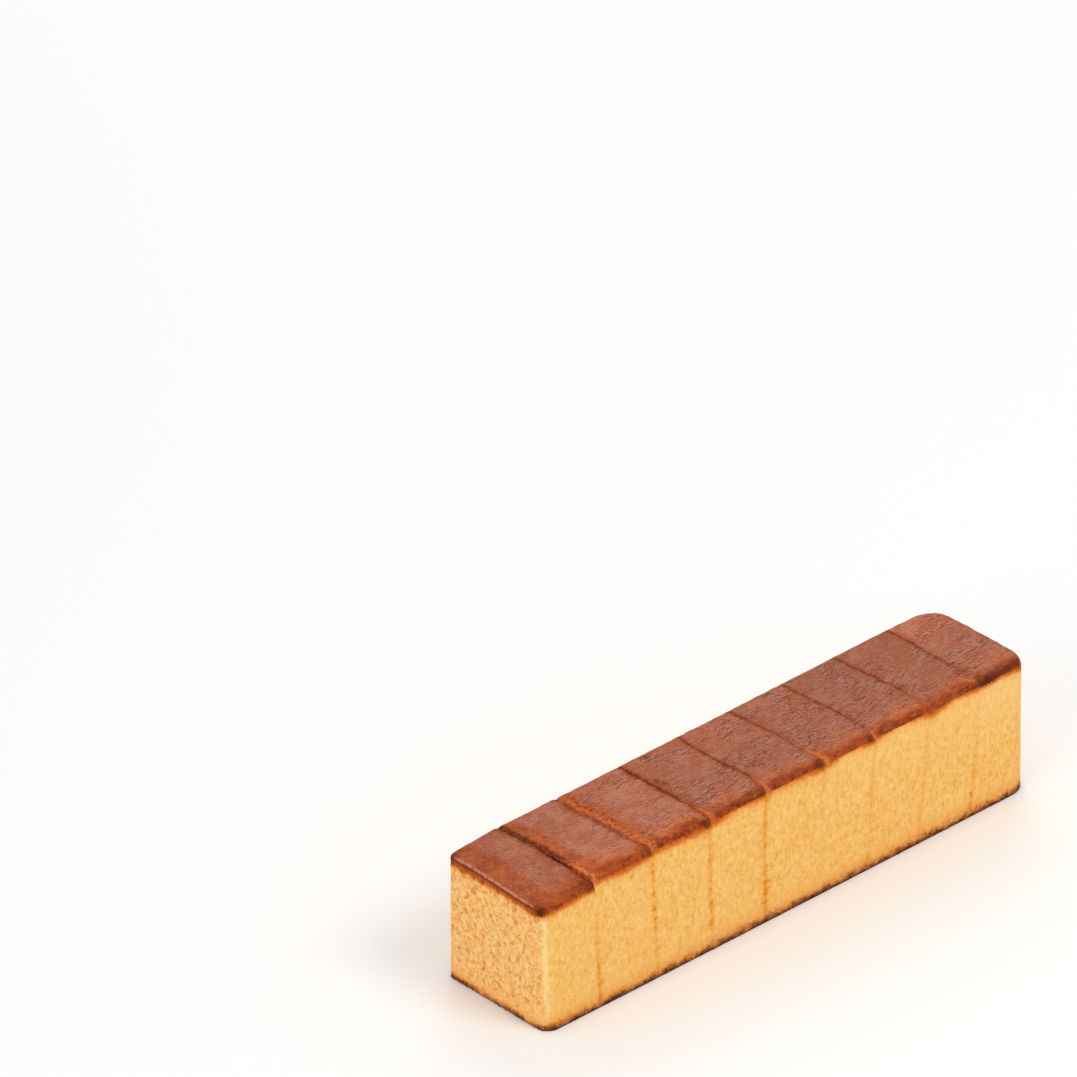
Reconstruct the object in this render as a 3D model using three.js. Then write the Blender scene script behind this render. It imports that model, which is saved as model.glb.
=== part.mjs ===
import * as THREE from 'three';
import { mergeVertices } from 'three/addons/utils/BufferGeometryUtils.js';

// A loaf of castella sponge cake, cut right through into nine slices that still
// stand together in the loaf's shape. Millimetres, +Z up, +X along the loaf from
// its near end to its far end, origin at the centre of the flat underside.
//
// Each slice is one closed solid: a box on a lattice of stations, whose edges are
// rounded and which is then warped into its place between two cuts. The crust on
// top and underneath is baked sponge, so it belongs to the slice that carries it.

// ---- driving dimensions ----------------------------------------------------

const CUT_GAP = 0.3;              // air in a knife cut, between two slices

// Where the near end, the eight cuts and the far end lie along X. The slices fan
// out a little towards the top, each cut drifts a little across the loaf, and the
// upper part of a cut bows towards the near end.
const CUT_AT_FOOT      = [-128.4, -101.1, -71.8, -43.5, -15.8, 15.2, 38.8, 65.8,  94.0, 128.7];
const CUT_AT_TOP_FRONT = [-128.8, -102.6, -72.2, -41.9, -12.7, 17.6, 44.5, 74.3, 101.8, 128.7];
const CUT_AT_TOP_MID   = [-128.8, -103.2, -74.0, -41.6, -11.8, 17.4, 45.6, 74.5, 102.0, 129.0];
const CUT_AT_TOP_BACK  = [-128.8, -104.6, -75.2, -42.4, -10.9, 15.5, 43.9, 72.3, 102.2, 128.6];
const CUT_BOW          = [     0,      0,  -0.9, -1.25,  -1.4, -1.2, -0.5, -0.5,   0.4,     0];

// The loaf widens a little to its far end, and its long sides lean in at the top.
const FRONT_FOOT_NEAR = -27.0;
const FRONT_FOOT_FAR = -29.5;
const FRONT_TOP_NEAR = -24.8;
const FRONT_TOP_FAR = -26.8;
const BACK_FOOT_NEAR = 28.2;
const BACK_FOOT_FAR = 29.5;
const BACK_TOP_NEAR = 27.5;
const BACK_TOP_FAR = 28.6;

const NOMINAL_WIDTH = 55.6;       // lattice box before it is warped
const NOMINAL_HEIGHT = 57;

// Crown of each slice's crust over the nominal height at the corners of its top:
// front near, front far, back near, back far. The near end has sunk the most.
const CROWN = [
  [-3.5, -2.4, -2.0, -0.5],
  [-0.1, -0.4, -0.3, -0.3],
  [ 0.0, -0.3, -0.2, -0.2],
  [-0.1,  0.2, -0.1,  0.0],
  [ 0.3, -0.1,  0.1,  0.1],
  [ 0.0,  0.1,  0.2,  0.3],
  [ 0.2,  0.0,  0.3,  0.4],
  [-0.1,  0.3,  0.5,  0.6],
  [ 0.1,  0.1,  0.7,  0.4],
];

// Crust rolling over the two long edges, slice by slice.
const LONG_TOP_RADIUS = [2.8, 3.6, 4.2, 4.4, 4.6, 4.6, 4.6, 4.6, 4.8];
const LONG_FOOT_RADIUS = 0.6;     // thin bottom crust all round the foot
const NEAR_TOP_RADIUS = 2.0;      // top edge of the near end
const FAR_TOP_RADIUS = 2.5;       // top edge of the far end
const NEAR_FRONT_RADIUS = 5.5;    // upright corners of the loaf's two ends
const NEAR_BACK_RADIUS = 3.8;
const FAR_FRONT_RADIUS = 9.6;
const FAR_BACK_RADIUS = 12.5;
const CUT_TOP_RADIUS = 0.8;       // lips of a cut

// Stations of the lattice, as distances in from a rounded edge of the loaf.
const AT_FOOT = [0, 0.35, LONG_FOOT_RADIUS];
const AT_LONG_EDGE = [0, 1.4, 2.8, 4.6];
const AT_CUT = [0, CUT_TOP_RADIUS * 0.586, CUT_TOP_RADIUS];
const AT_NEAR_END = [0, 1.2, 2.2, 3.8, NEAR_FRONT_RADIUS];
const AT_FAR_END = [0, 1.4, FAR_TOP_RADIUS, 4.4, 7.2, FAR_FRONT_RADIUS, FAR_BACK_RADIUS];
const AT_FAR_FRONT = [0, 1.4, 2.8, 4.8, 7.0, FAR_FRONT_RADIUS];
const AT_FAR_BACK = [0, 1.4, 2.8, 4.8, 8.2, FAR_BACK_RADIUS];
const SPANS_ALONG = 2;            // even spans between the rounded edges
const SPANS_ACROSS = 5;
const SPANS_UP = 4;

const CRUMB_COLOURS = [0xe6b36a, 0xecbb66, 0xecbc68, 0xedbd66, 0xecbb67, 0xedbd69, 0xecbc66, 0xedbe69, 0xecbb66];

// ---- helpers ---------------------------------------------------------------

const mix = (a, b, t) => a + (b - a) * t;
const smooth = (t) => t * t * (3 - 2 * t);
const clamp = (t) => Math.min(Math.max(t, 0), 1);

// Stations along one side of the lattice box: the given distances in from its low
// and high ends, and even spans between them.
function stations(size, low, high, spans) {
  const from = low[low.length - 1], to = size - high[high.length - 1];
  const list = [...low];
  for (let i = 1; i < spans; i++) list.push(mix(from, to, i / spans));
  for (const d of [...high].reverse()) list.push(size - d);
  return list;
}

// Moves a point at distances a and b from the two faces of a sharp edge on to the
// rounding of that edge.
function quarter(a, b, radius) {
  const u = 1 - a / radius, v = 1 - b / radius;
  if (u <= 0 || v <= 0) return [a, b];
  const s = Math.max(u, v) / Math.hypot(u, v);
  return [radius * (1 - u * s), radius * (1 - v * s)];
}

// Rounds the outer edges of the loaf at one lattice point: the long edges, and on
// the first and last slice the upright corners and the edges of the end.
function roundLoaf(p, n, length, first, last) {
  const W = NOMINAL_WIDTH, H = NOMINAL_HEIGHT;
  const toNear = first ? p.x : Infinity, toFar = last ? length - p.x : Infinity;
  const dx = Math.min(toNear, toFar), dy = Math.min(p.y, W - p.y);
  const atFar = toFar < toNear, atBack = p.y > W / 2;
  const R = atFar ? (atBack ? FAR_BACK_RADIUS : FAR_FRONT_RADIUS) : (atBack ? NEAR_BACK_RADIUS : NEAR_FRONT_RADIUS);
  const u = 1 - dx / R, v = 1 - dy / R;
  const inCorner = u > 0 && v > 0, size = Math.hypot(u, v);
  const byEnd = inCorner ? (u / size) ** 2 : dx < dy ? 1 : 0;
  const roll = mix(LONG_TOP_RADIUS[n], atFar ? FAR_TOP_RADIUS : NEAR_TOP_RADIUS, byEnd);

  let d = inCorner ? R * (1 - Math.max(u, v)) : Math.min(dx, dy);
  if (p.z > H / 2) {
    const [a, b] = quarter(d, H - p.z, roll);
    d = a; p.z = H - b;
  } else {
    const [a, b] = quarter(d, p.z, LONG_FOOT_RADIUS);
    d = a; p.z = b;
  }

  let nx = dx, ny = dy;
  if (inCorner) {
    const rho = 1 - d / R;
    nx = R * (1 - rho * u / size);
    ny = R * (1 - rho * v / size);
  } else if (dx < dy) nx = d;
  else ny = d;
  if (dx < Infinity) p.x = atFar ? length - nx : nx;
  p.y = atBack ? W - ny : ny;
}

// The surface of cut number n: its X at a place across the loaf and up it.
function cutX(n, across, up) {
  const t = across;                                   // 0 front, 1 back
  const f = CUT_AT_TOP_FRONT[n], m = CUT_AT_TOP_MID[n], b = CUT_AT_TOP_BACK[n];
  const top = f * (1 - t) * (1 - 2 * t) + m * 4 * t * (1 - t) + b * t * (2 * t - 1);
  const foot = CUT_AT_FOOT[n] + 0.5 * (top - f);
  return mix(foot, top, up) + CUT_BOW[n] * 6.75 * up * up * (1 - up);
}

// ---- one slice -------------------------------------------------------------

function sliceGeometry(n) {
  const first = n === 0, last = n === CUT_AT_FOOT.length - 2;
  const length = (CUT_AT_FOOT[n + 1] - CUT_AT_FOOT[n] + CUT_AT_TOP_FRONT[n + 1] - CUT_AT_TOP_FRONT[n]) / 2;
  const W = NOMINAL_WIDTH, H = NOMINAL_HEIGHT;

  const xs = stations(length, first ? AT_NEAR_END : AT_CUT, last ? AT_FAR_END : AT_CUT, SPANS_ALONG);
  const ys = stations(W, last ? AT_FAR_FRONT : AT_LONG_EDGE, last ? AT_FAR_BACK : AT_LONG_EDGE, SPANS_ACROSS);
  const zs = stations(H, AT_FOOT, AT_LONG_EDGE, SPANS_UP);

  const box = new THREE.BoxGeometry(1, 1, 1, xs.length - 1, ys.length - 1, zs.length - 1);
  box.deleteAttribute('normal');
  box.deleteAttribute('uv');
  const geometry = mergeVertices(box, 1e-5);
  const at = geometry.attributes.position;

  for (let i = 0; i < at.count; i++) {
    const p = {
      x: xs[Math.round((at.getX(i) + 0.5) * (xs.length - 1))],
      y: ys[Math.round((at.getY(i) + 0.5) * (ys.length - 1))],
      z: zs[Math.round((at.getZ(i) + 0.5) * (zs.length - 1))],
    };
    roundLoaf(p, n, length, first, last);

    // lips of the cuts
    if (!first) {
      const [a, b] = quarter(p.x, H - p.z, CUT_TOP_RADIUS);
      p.x = a; p.z = H - b;
    }
    if (!last) {
      const [a, b] = quarter(length - p.x, H - p.z, CUT_TOP_RADIUS);
      p.x = length - a; p.z = H - b;
    }

    // into place between its two cuts
    const across = p.y / W, up = p.z / H, along = p.x / length;
    const lowX = cutX(n, across, up) + (first ? 0 : CUT_GAP / 2);
    const highX = cutX(n + 1, across, up) - (last ? 0 : CUT_GAP / 2);
    const x = mix(lowX, highX, along);

    const from = CUT_AT_TOP_FRONT[0], to = CUT_AT_TOP_FRONT[CUT_AT_TOP_FRONT.length - 1];
    const s = (x - from) / (to - from);
    const front = mix(mix(FRONT_FOOT_NEAR, FRONT_FOOT_FAR, s), mix(FRONT_TOP_NEAR, FRONT_TOP_FAR, s), up);
    const back = mix(mix(BACK_FOOT_NEAR, BACK_FOOT_FAR, s), mix(BACK_TOP_NEAR, BACK_TOP_FAR, s), up);
    const y = mix(front, back, across);

    const c = CROWN[n];
    const crown = mix(mix(c[0], c[1], along), mix(c[2], c[3], along), smooth(clamp(across / 0.75)));
    at.setXYZ(i, x, y, H * up + crown * up ** 5);
  }
  geometry.computeVertexNormals();
  return geometry;
}

// ---- the loaf --------------------------------------------------------------

const loaf = new THREE.Group();
loaf.name = 'castella_loaf';

for (let n = 0; n < CUT_AT_FOOT.length - 1; n++) {
  const crumb = new THREE.MeshStandardMaterial({ color: CRUMB_COLOURS[n], roughness: 0.85, metalness: 0 });
  const slice = new THREE.Mesh(sliceGeometry(n), crumb);
  slice.name = 'slice_' + String(n + 1).padStart(2, '0');
  loaf.add(slice);
}

export default loaf;
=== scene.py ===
import math

import bpy
import numpy as np
from mathutils import Matrix, Vector


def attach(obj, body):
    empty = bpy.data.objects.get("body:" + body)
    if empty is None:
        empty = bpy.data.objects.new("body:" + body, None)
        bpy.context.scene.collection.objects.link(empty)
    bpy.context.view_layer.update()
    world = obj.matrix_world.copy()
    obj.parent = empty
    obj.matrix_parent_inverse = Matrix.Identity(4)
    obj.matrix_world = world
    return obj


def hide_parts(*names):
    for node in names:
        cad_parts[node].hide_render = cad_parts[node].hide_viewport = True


# Castella sponge cake: a long bar cut right through into nine slices that still
# stand together. Each slice is one dense mesh whose crust, crumb, torn lips and
# wrinkles are worked out here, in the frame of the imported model.
# All shape numbers below are millimetres in the row frame; +X runs along the
# loaf, -Y is the long front side, and the underside is z = 0.

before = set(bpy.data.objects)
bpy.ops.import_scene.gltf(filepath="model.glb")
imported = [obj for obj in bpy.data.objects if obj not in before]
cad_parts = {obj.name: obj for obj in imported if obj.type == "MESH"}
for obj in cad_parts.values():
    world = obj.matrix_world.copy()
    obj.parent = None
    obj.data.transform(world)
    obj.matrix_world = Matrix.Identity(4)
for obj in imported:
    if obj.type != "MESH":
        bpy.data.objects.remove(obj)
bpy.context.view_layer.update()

MM = 0.001

# ---------------------------------------------------------------------------
# camera: a long lens at the photograph's viewing angle
# ---------------------------------------------------------------------------
AZ, EL = math.radians(-43.052), math.radians(30.553)
CAM_POS = (-1818.50, -1831.37, 1674.09)
LENS = 267.41

right = Vector((math.cos(AZ), math.sin(AZ), 0.0))
back = Vector((math.sin(AZ) * math.cos(EL), -math.cos(AZ) * math.cos(EL), math.sin(EL)))
up = back.cross(right)
cam_data = bpy.data.cameras.new("camera")
cam_data.lens = LENS
cam_data.sensor_width = 36.0
cam_data.clip_start, cam_data.clip_end = 0.1, 60.0
cam = bpy.data.objects.new("camera", cam_data)
cam.matrix_world = Matrix((
    (right.x, up.x, back.x, CAM_POS[0] * MM),
    (right.y, up.y, back.y, CAM_POS[1] * MM),
    (right.z, up.z, back.z, CAM_POS[2] * MM),
    (0, 0, 0, 1),
))
bpy.context.scene.collection.objects.link(cam)
bpy.context.scene.camera = cam


# ---------------------------------------------------------------------------
# noise in numpy, all seeded
# ---------------------------------------------------------------------------
class Noise:
    def __init__(self, seed):
        r = np.random.RandomState(seed)
        self.perm = r.permutation(256).astype(np.int64)
        g = r.normal(size=(256, 3))
        self.grad = g / np.linalg.norm(g, axis=1, keepdims=True)
        self.rand = r.random_sample((256, 4))

    def _hash(self, i, j, k):
        p = self.perm
        return p[(p[(p[i & 255] + j) & 255] + k) & 255]

    def perlin(self, p):
        i = np.floor(p).astype(np.int64)
        f = p - i
        w = f * f * f * (f * (f * 6 - 15) + 10)
        out = np.zeros(len(p))
        for dx in (0, 1):
            wx = w[:, 0] if dx else 1 - w[:, 0]
            for dy in (0, 1):
                wy = w[:, 1] if dy else 1 - w[:, 1]
                for dz in (0, 1):
                    wz = w[:, 2] if dz else 1 - w[:, 2]
                    g = self.grad[self._hash(i[:, 0] + dx, i[:, 1] + dy, i[:, 2] + dz)]
                    d = (g[:, 0] * (f[:, 0] - dx) + g[:, 1] * (f[:, 1] - dy) + g[:, 2] * (f[:, 2] - dz))
                    out += wx * wy * wz * d
        return out * 1.5

    def fbm(self, p, octaves=3, gain=0.5):
        out, a, total = np.zeros(len(p)), 1.0, 0.0
        for o in range(octaves):
            out += a * self.perlin(p * 2.03 ** o + 17.3 * o)
            total += a
            a *= gain
        return out / total

    def cells(self, p):
        """Distance to the nearest feature point, to the second nearest, and a random number of the nearest."""
        i = np.floor(p).astype(np.int64)
        f1 = np.full(len(p), 9.0)
        f2 = np.full(len(p), 9.0)
        who = np.zeros(len(p))
        for dx in (-1, 0, 1):
            for dy in (-1, 0, 1):
                for dz in (-1, 0, 1):
                    h = self._hash(i[:, 0] + dx, i[:, 1] + dy, i[:, 2] + dz)
                    q = self.rand[h]
                    d = np.sqrt((i[:, 0] + dx + q[:, 0] - p[:, 0]) ** 2
                                + (i[:, 1] + dy + q[:, 1] - p[:, 1]) ** 2
                                + (i[:, 2] + dz + q[:, 2] - p[:, 2]) ** 2)
                    near = d < f1
                    f2 = np.where(near, f1, np.minimum(f2, d))
                    who = np.where(near, q[:, 3], who)
                    f1 = np.where(near, d, f1)
        return f1, f2, who


N1, N2, N3, N4, N5, N6, N7, N8 = (Noise(s) for s in (11, 23, 37, 41, 59, 73, 89, 97))


def step(e0, e1, x):
    t = np.clip((x - e0) / (e1 - e0), 0.0, 1.0)
    return t * t * (3 - 2 * t)


def mix(a, b, t):
    return a + (b - a) * t


# ---------------------------------------------------------------------------
# the loaf, in millimetres
# ---------------------------------------------------------------------------
# where the near end, the eight cuts and the far end lie along X: at the foot, and
# across the top at five places from the front edge to the back edge
FOOT = [-128.4, -101.1, -71.8, -43.5, -15.8, 15.2, 38.8, 65.8, 94.0, 128.7]
# how far each cut bows along X half way up
BEND = [0.0, 0.0, -0.9, -1.25, -1.4, -1.2, -0.5, -0.5, 0.4, 0.0]
CUT_TOP = [
    (-128.8, -128.8, -128.8, -128.8, -128.8),
    (-102.6, -102.9, -103.2, -103.9, -104.6),
    (-72.2, -73.5, -74.0, -74.9, -75.2),
    (-41.9, -41.3, -41.6, -41.9, -42.4),
    (-12.7, -11.5, -11.8, -12.1, -10.9),
    (17.6, 17.3, 17.4, 16.4, 15.5),
    (44.5, 45.9, 45.6, 44.5, 43.9),
    (74.3, 75.1, 74.5, 73.5, 72.3),
    (101.8, 101.7, 102.0, 102.35, 102.2),
    (128.7, 128.9, 129.0, 128.9, 128.6),
]
HALF = 128.8
W, H = 55.6, 57.0

# crown over z = 57 at the corners of each slice's top: front near, front far,
# back near, back far
RISE = [
    (-3.5, -2.4, -2.0, -0.5),
    (-0.1, -0.4, -0.3, -0.3),
    (0.0, -0.3, -0.2, -0.2),
    (-0.1, 0.2, -0.1, 0.0),
    (0.3, -0.1, 0.1, 0.1),
    (0.0, 0.1, 0.2, 0.3),
    (0.2, 0.0, 0.3, 0.4),
    (-0.1, 0.3, 0.5, 0.6),
    (0.1, 0.1, 0.7, 0.4),
]
# radius of the crust rolling over the long edges
ROLL = [2.8, 3.6, 4.2, 4.4, 4.6, 4.6, 4.6, 4.6, 4.8]
# lower edge of the crust on the front side: near cut, middle, far cut
CRUST_EDGE = [
    (50.4, 51.1, 51.5),
    (54.3, 53.2, 53.7),
    (54.6, 53.9, 53.1),
    (53.8, 55.2, 54.6),
    (55.8, 54.9, 53.8),
    (54.2, 55.5, 54.1),
    (55.0, 56.0, 54.0),
    (53.4, 55.1, 54.4),
    (54.2, 54.6, 53.3),
]
# how wide each cut gapes along the top, front edge to back edge
OPEN = [
    (0.0, 0.0, 0.0, 0.0, 0.0),
    (0.01, 0.02, 0.08, 0.12, 0.10),
    (0.01, 0.02, 0.03, 0.03, 0.02),
    (0.01, 0.02, 0.07, 0.10, 0.04),
    (0.01, 0.02, 0.02, 0.02, 0.02),
    (0.01, 0.02, 0.02, 0.02, 0.02),
    (0.01, 0.02, 0.02, 0.02, 0.02),
    (0.01, 0.02, 0.02, 0.02, 0.02),
    (0.01, 0.02, 0.03, 0.04, 0.03),
    (0.0, 0.0, 0.0, 0.0, 0.0),
]
# how wide each cut gapes down the sides: foot, half way, top
SIDE = [
    (0.0, 0.0, 0.0),
    (0.04, 0.0, 0.0),
    (0.02, 0.0, 0.0),
    (0.02, 0.0, 0.0),
    (0.16, 0.02, 0.02),
    (0.0, 0.0, 0.0),
    (0.02, 0.0, 0.0),
    (0.0, 0.0, 0.0),
    (0.05, 0.0, 0.0),
    (0.0, 0.0, 0.0),
]
# how plainly each cut's orange-stained line shows down the sides, foot to top
SEAM = [
    (0.0, 0.0, 0.0, 0.0, 0.0),
    (1.90, 0.66, 0.80, 0.08, 0.0),
    (0.58, 0.52, 0.98, 1.00, 0.50),
    (0.48, 1.00, 0.70, 0.96, 0.50),
    (0.35, 1.35, 0.50, 0.86, 0.74),
    (0.10, 0.05, 0.08, 0.28, 0.40),
    (0.60, 0.38, 0.36, 0.36, 0.28),
    (0.80, 0.40, 0.50, 0.40, 0.20),
    (3.00, 0.78, 0.36, 0.06, 0.0),
    (0.0, 0.0, 0.0, 0.0, 0.0),
]
# how plainly each cut shows on the top, front edge to back edge
LINE = [
    (0.0, 0.0, 0.0, 0.0, 0.0),
    (0.2, 0.35, 0.6, 0.8, 0.8),
    (0.8, 1.0, 1.0, 1.0, 1.0),
    (0.5, 0.8, 1.2, 1.3, 1.0),
    (0.5, 0.9, 0.9, 0.85, 0.75),
    (0.3, 0.25, 0.6, 0.9, 0.9),
    (0.3, 0.7, 0.9, 0.9, 0.85),
    (0.1, 0.5, 1.0, 1.0, 0.9),
    (0.05, 0.55, 1.0, 1.0, 1.0),
    (0.0, 0.0, 0.0, 0.0, 0.0),
]
# rounding of each cut's lips on the nearer and on the further slice, then of the
# two corners of the notch where the cut leaves the top at the front
LIPS = [
    (0.0, 0.0, 0.0, 0.0),
    (0.6, 0.4, 0.8, 0.6),
    (0.5, 0.4, 0.8, 0.6),
    (0.48, 0.48, 0.7, 0.5),
    (0.30, 0.30, 0.7, 0.5),
    (0.30, 0.34, 0.7, 0.5),
    (0.30, 0.34, 0.5, 0.4),
    (0.30, 0.34, 0.3, 0.3),
    (0.30, 0.34, 0.3, 0.3),
    (0.0, 0.0, 0.0, 0.0),
]
# the strip without crust on a slice's near lip, at these places across the loaf:
# its width and how deep it is torn at the cut
TORN_AT = (0.0, 0.12, 0.30, 0.50, 1.0)
TORN = {
    1: ((2.8, 3.0, 3.4, 3.6, 3.4), (0.15, 0.2, 0.4, 0.6, 0.4)),
    2: ((3.4, 3.8, 4.6, 4.8, 4.8), (0.6, 0.6, 0.7, 0.7, 0.5)),
    3: ((4.0, 2.1, 0.0, 0.0, 0.0), (0.5, 0.4, 0.0, 0.0, 0.0)),
    4: ((3.4, 1.8, 0.0, 0.0, 0.0), (0.5, 0.4, 0.0, 0.0, 0.0)),
    5: ((4.0, 2.5, 0.0, 0.0, 0.0), (0.5, 0.4, 0.0, 0.0, 0.0)),
    6: ((2.0, 0.8, 0.0, 0.0, 0.0), (0.3, 0.2, 0.0, 0.0, 0.0)),
}
# how light the torn strip is from the cut to its far edge, at the front and at the
# back: 0 almost black, 0.5 rust, 1 pale orange crumb; the dark values are partly painted shade down in the cut
SHADES = {
    1: ((0.64, 0.70, 0.74, 0.68, 0.58, 0.54), (0.22, 0.14, 0.14, 0.24, 0.44, 0.56)),
    2: ((0.50, 0.56, 0.66, 0.62, 0.57, 0.55), (0.44, 0.48, 0.66, 0.48, 0.44, 0.54)),
    3: ((0.46, 0.60, 0.68, 0.66, 0.60, 0.55), (0.3, 0.45, 0.5, 0.5, 0.5, 0.5)),
    4: ((0.48, 0.64, 0.72, 0.70, 0.62, 0.55), (0.3, 0.50, 0.6, 0.6, 0.5, 0.5)),
    5: ((0.46, 0.60, 0.68, 0.66, 0.60, 0.55), (0.3, 0.50, 0.6, 0.6, 0.5, 0.5)),
    6: ((0.54, 0.68, 0.74, 0.70, 0.62, 0.56), (0.3, 0.50, 0.6, 0.6, 0.5, 0.5)),
}
# how strongly each slice's crust is wrinkled
WRINKLED = [0.20, 0.32, 0.68, 0.95, 1.0, 1.0, 0.9, 0.85, 0.85]
# how pale each slice's crust is, in the middle and at the back
LEVEL = [(1.03, 1.03), (1.18, 1.05), (1.16, 1.20), (1.00, 1.11), (0.95, 1.17), (0.94, 1.00), (0.93, 0.84), (0.94, 0.91), (1.05, 1.30)]
# how light each slice's crust is at its front edge, and how far its blotches lean to pink, partly a painted sheen
FRONT_LEVEL = [1.11, 1.07, 1.11, 0.97, 0.93, 1.11, 1.05, 1.15, 0.54]
PINK_SHEEN = [-0.03, 0.10, 0.06, -0.17, -0.04, -0.03, -0.08, -0.11, 0.04]
# orange-brown borders beside the near cut or end: width and strength
BORDER = [(11.0, 1.0), (8.5, 1.0), (8.0, 0.65), (3.2, 0.6), (2.4, 0.5), (2.0, 0.4), (1.5, 0.35), (1.5, 0.3), (3.0, 0.5)]
# single creases in the crust: x from, x to, y, how far it arches, strength
CREASES = [
    (-7.8, -0.7, 16.4, 0.5, 1.0), (-28.6, -21.9, 8.8, 0.5, 0.8), (-40.8, -36.0, 3.0, 0.3, 0.7), (-8.6, -5.0, -7.9, 0.2, 1.0),
    (7.4, 12.2, 9.6, 0.9, 1.0), (7.4, 12.0, 0.0, 0.9, 1.0), (6.0, 11.0, 19.0, 0.6, 0.9), (-9.5, -3.0, -3.2, 0.6, 0.6),
    (-1.0, 6.0, -5.9, 0.5, 0.8), (17.8, 26.8, -0.7, 0.4, 1.0), (17.4, 21.0, -4.2, 0.6, 1.0), (36.2, 41.0, 13.6, 0.8, 0.8),
    (37.5, 41.0, 4.6, 0.6, 0.7), (37.5, 41.5, -4.3, 0.7, 0.8), (38.0, 42.0, -13.5, 0.5, 0.9), (21.0, 24.2, -12.8, 0.4, 0.8),
    (55.5, 61.2, -2.7, 0.5, 1.4), (64.8, 69.5, 12.0, 0.9, 1.0), (66.8, 71.4, -9.6, 0.9, 1.0), (66.4, 70.6, -18.4, 0.7, 1.0),
    (66.0, 70.0, -0.4, 0.6, 0.7), (84.4, 87.6, -6.3, 0.6, 1.0), (105.4, 111.0, -3.9, 0.2, 0.8), (119.8, 123.2, -7.0, -0.9, 1.5),
    (116.6, 118.8, 16.2, 0.5, 0.8), (-47.4, -44.2, -0.8, 0.4, 0.6), (-120.9, -119.5, -16.0, 0.0, 0.9), (-117.5, -116.6, -19.5, 0.0, 0.7),
]
# darker spots of crust: x, y, half width, half depth, strength
SPOTS = [
    (106.5, -26.2, 5.5, 2.4, 1.5), (103.6, -15.2, 2.4, 1.7, 0.5), (114.5, -26.5, 7.0, 2.6, 0.5), (123.0, -25.0, 4.0, 2.4, 0.3),
    (-128.3, -23.4, 1.8, 2.8, 1.2), (-127.8, 24.4, 1.6, 1.8, 0.8), (-104.6, -23.5, 2.2, 3.0, 0.7), (-101.5, -6.6, 1.5, 1.3, 1.7), (-38.6, 8.5, 1.6, 1.6, 0.6),
    (-14.6, -24.4, 1.6, 2.2, 0.7), (15.6, -24.4, 1.8, 2.4, 0.8), (-44.0, -24.4, 1.8, 2.4, 0.8), (42.8, -25.0, 1.6, 2.0, 0.7),
    (-74.2, -24.5, 1.6, 2.2, 0.6), (-101.5, 3.2, 0.9, 2.4, 0.7), (-102.2, 12.4, 1.0, 3.0, 0.7), (-103.0, 20.5, 0.9, 2.0, 0.5),
]
# small brown crumbs and pits on the front side: x, z, half width, half height, strength
MARKS = [
    (-83.9, 49.4, 0.55, 0.8, 1.0), (-82.6, 49.9, 0.4, 0.6, 0.8), (-112.0, 48.6, 1.2, 0.5, 0.45), (-63.5, 50.2, 0.9, 0.5, 0.4),
    (-22.0, 46.5, 0.5, 1.2, 0.4), (30.5, 33.0, 0.5, 1.6, 0.35), (88.0, 40.5, 0.4, 1.8, 0.4), (79.5, 12.0, 0.6, 1.2, 0.35),
]

R_FOOT = 0.2
END_TOP = {0: 2.0, 8: 2.5}
# plan radius of the loaf's upright corners: (far end?, back?)
R_CORNER = {(0, 0): 5.5, (0, 1): 3.8, (1, 0): 9.6, (1, 1): 12.5}
# how far the painted shade along each cut reaches over the nearer and the further slice
LIP_WIDTH = [(0.0, 0.0), (2.0, 0.6), (2.1, 0.5), (1.2, 1.1), (0.95, 0.9), (0.9, 0.8), (0.9, 0.8), (0.9, 0.8), (0.95, 0.8), (0.0, 0.0)]
LIP = [0.0, 0.05, 0.13, 0.26, 0.44, 0.68]
STRIDE = 0.37


def curve(v, t):
    """A smooth curve through the values v, evenly spaced over t = 0 to 1."""
    v = np.asarray(v, float)
    k = len(v) - 1
    s = np.clip(t, 0, 1) * k
    i = np.clip(np.floor(s).astype(int), 0, k - 1)
    f = s - i
    a, b, c, d = v[np.maximum(i - 1, 0)], v[i], v[i + 1], v[np.minimum(i + 2, k)]
    return 0.5 * (2 * b + (c - a) * f + (2 * a - 5 * b + 4 * c - d) * f ** 2 + (3 * b - a - 3 * c + d) * f ** 3)


def cut_x(n, across, upw):
    top = curve(CUT_TOP[n], across)
    foot = FOOT[n] + 0.5 * (top - CUT_TOP[n][0])
    x = mix(foot, top, upw)
    if 0 < n < 9:
        x = x + BEND[n] * step(0.0, 0.75, upw) * step(1.0, 0.86, upw)
        # the knife's line wanders a little; both slices share it
        q = np.stack([np.full(len(across), 17.9 * n), across * W, upw * H * 0.5], -1)
        x = x + step(0.80, 0.96, upw) * (0.40 * N7.perlin(q / np.array([1, 3.1, 3.1])) + 0.30 * N3.perlin(q / np.array([1, 1.1, 1.1])))
        x = x + 0.25 * N5.perlin(np.stack([np.full(len(across), 5.3 * n), across * 4, upw * H / 5.0], -1)) * step(0.0, 0.1, upw)
    return x


def stations(size, lo, hi, stride):
    """Stations from 0 to size; lo and hi are the fine ones, as distances from each side."""
    a, b = np.array(lo), size - np.array(hi)[::-1]
    n = max(2, int(round((b[0] - a[-1]) / stride)))
    return np.concatenate([a, np.linspace(a[-1], b[0], n + 1)[1:-1], b])


def arc(radius, m):
    """Distances from the corner that share a rounded edge of this radius into even facets."""
    return [radius * (1 - math.tan(math.pi / 4 * k / m)) for k in range(m, -1, -1)]


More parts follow.
